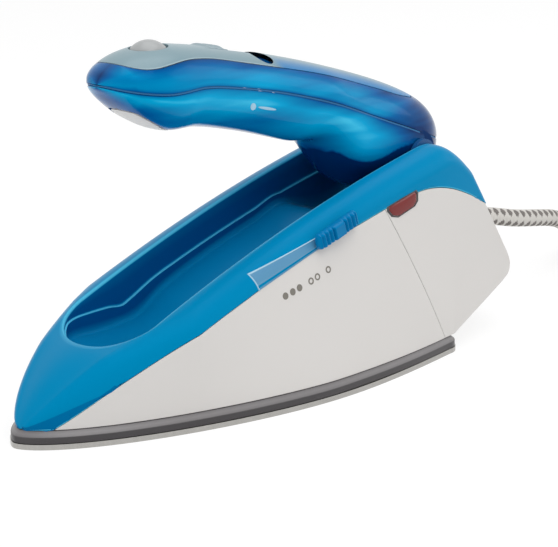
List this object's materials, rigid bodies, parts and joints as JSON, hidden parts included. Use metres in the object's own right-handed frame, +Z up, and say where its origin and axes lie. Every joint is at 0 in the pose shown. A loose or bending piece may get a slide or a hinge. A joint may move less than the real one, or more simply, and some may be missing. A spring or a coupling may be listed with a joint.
{
  "type": "clothes iron",
  "caption": "Compact travel steam iron with a water-tank handle that folds down into a well, a side temperature slider, a steam button and a coiled lead.",
  "frame": {"origin": "middle of the soleplate's ironing face, on the surface that the iron rests on", "axes": "+X towards the toe, +Y towards the side with the temperature slider, +Z up; the handle is unfolded"},
  "size_m": [0.4041, 0.1087, 0.1256],
  "materials": {
    "polished_steel_sole": "satin",
    "cast_aluminium_base": "cast",
    "element_sheath": "matt",
    "pressed_steel": "satin",
    "dark_phenolic_skirt": "satin",
    "blue_shell": "gloss",
    "white_housing": "satin gloss",
    "red_lens": "gloss",
    "acetal_washer": "satin",
    "white_ceramic": "matt",
    "neon_glass": "clear",
    "silicone_tube": "satin",
    "wire_insulation": "satin",
    "black_rubber": "matt",
    "braided_lead": "braided",
    "black_plug": "satin",
    "plated_brass": "polished",
    "pale_panel": "satin gloss",
    "clear_blue_tank": "gloss, tinted clear",
    "tank_seal": "satin",
    "spring_steel": "bright",
    "grey_button": "satin gloss",
    "blue_slider": "satin gloss"
  },
  "bodies": {
    "iron_base": {"soleplate": "polished_steel_sole", "heated_base": "cast_aluminium_base", "heating_element": "element_sheath", "steam_chamber_lid": "pressed_steel", "heat_skirt": "dark_phenolic_skirt", "upper_shell": "blue_shell", "lower_housing": "white_housing", "rear_cover": "white_housing", "pilot_lens": "red_lens", "hinge_pins": "pressed_steel", "hinge_washers": "acetal_washer", "thermostat": "white_ceramic", "thermal_fuse": "pressed_steel", "terminal_block": "white_ceramic", "neon_lamp": "neon_glass", "cord_clamp": "white_housing", "drip_tube": "silicone_tube", "inner_leads": "wire_insulation", "strain_relief": "black_rubber", "lead": "braided_lead", "lead_coil": "braided_lead", "coil_tie": "black_rubber", "plug_body": "black_plug", "plug_blades": "plated_brass", "plug_tail": "braided_lead", "base_screws": "pressed_steel"},
    "handle": {"top_panel": "pale_panel", "inlet_grommet": "black_rubber", "tank_upper": "clear_blue_tank", "tank_lower": "clear_blue_tank", "tank_seal": "tank_seal", "grip_insert": "white_housing", "hinge_barrel": "clear_blue_tank", "valve_cup": "acetal_washer", "button_spring": "spring_steel"},
    "steam_button": {"steam_button": "grey_button"},
    "fill_cover": {"fill_cover": "pale_panel"},
    "temperature_slider": {"temperature_slider": "blue_slider"},
    "thermostat_crank": {"thermostat_crank": "acetal_washer"}
  },
  "joints": [
    {"name": "handle_fold", "type": "hinge", "parent": "iron_base", "child": "handle", "pos_m": [-0.087, 0, 0.072], "axis": [0, 1, 0], "range_deg": [0, 34]},
    {"name": "steam_button_press", "type": "slide", "parent": "handle", "child": "steam_button", "axis": [0, 0, -1], "range_m": [0, 0.003], "stiffness_N_per_m": 200, "springref_m": -0.002, "deforming": ["button_spring"]},
    {"name": "fill_cover_slide", "type": "slide", "parent": "handle", "child": "fill_cover", "axis": [-0.9826, 0, -0.1857], "range_m": [0, 0.0135]},
    {"name": "temperature_slide", "type": "slide", "parent": "iron_base", "child": "temperature_slider", "axis": [0.9532, 0, -0.3024], "range_m": [0, 0.028]},
    {"name": "thermostat_turn", "type": "hinge", "parent": "iron_base", "child": "thermostat_crank", "pos_m": [-0.0145, -0.0032, 0.031], "axis": [0, 0, -1], "range_deg": [0, 53]}
  ],
  "couplings": [
    {"joint": "thermostat_turn", "follows": "temperature_slide", "rad_per_m": 32.924}
  ]
}
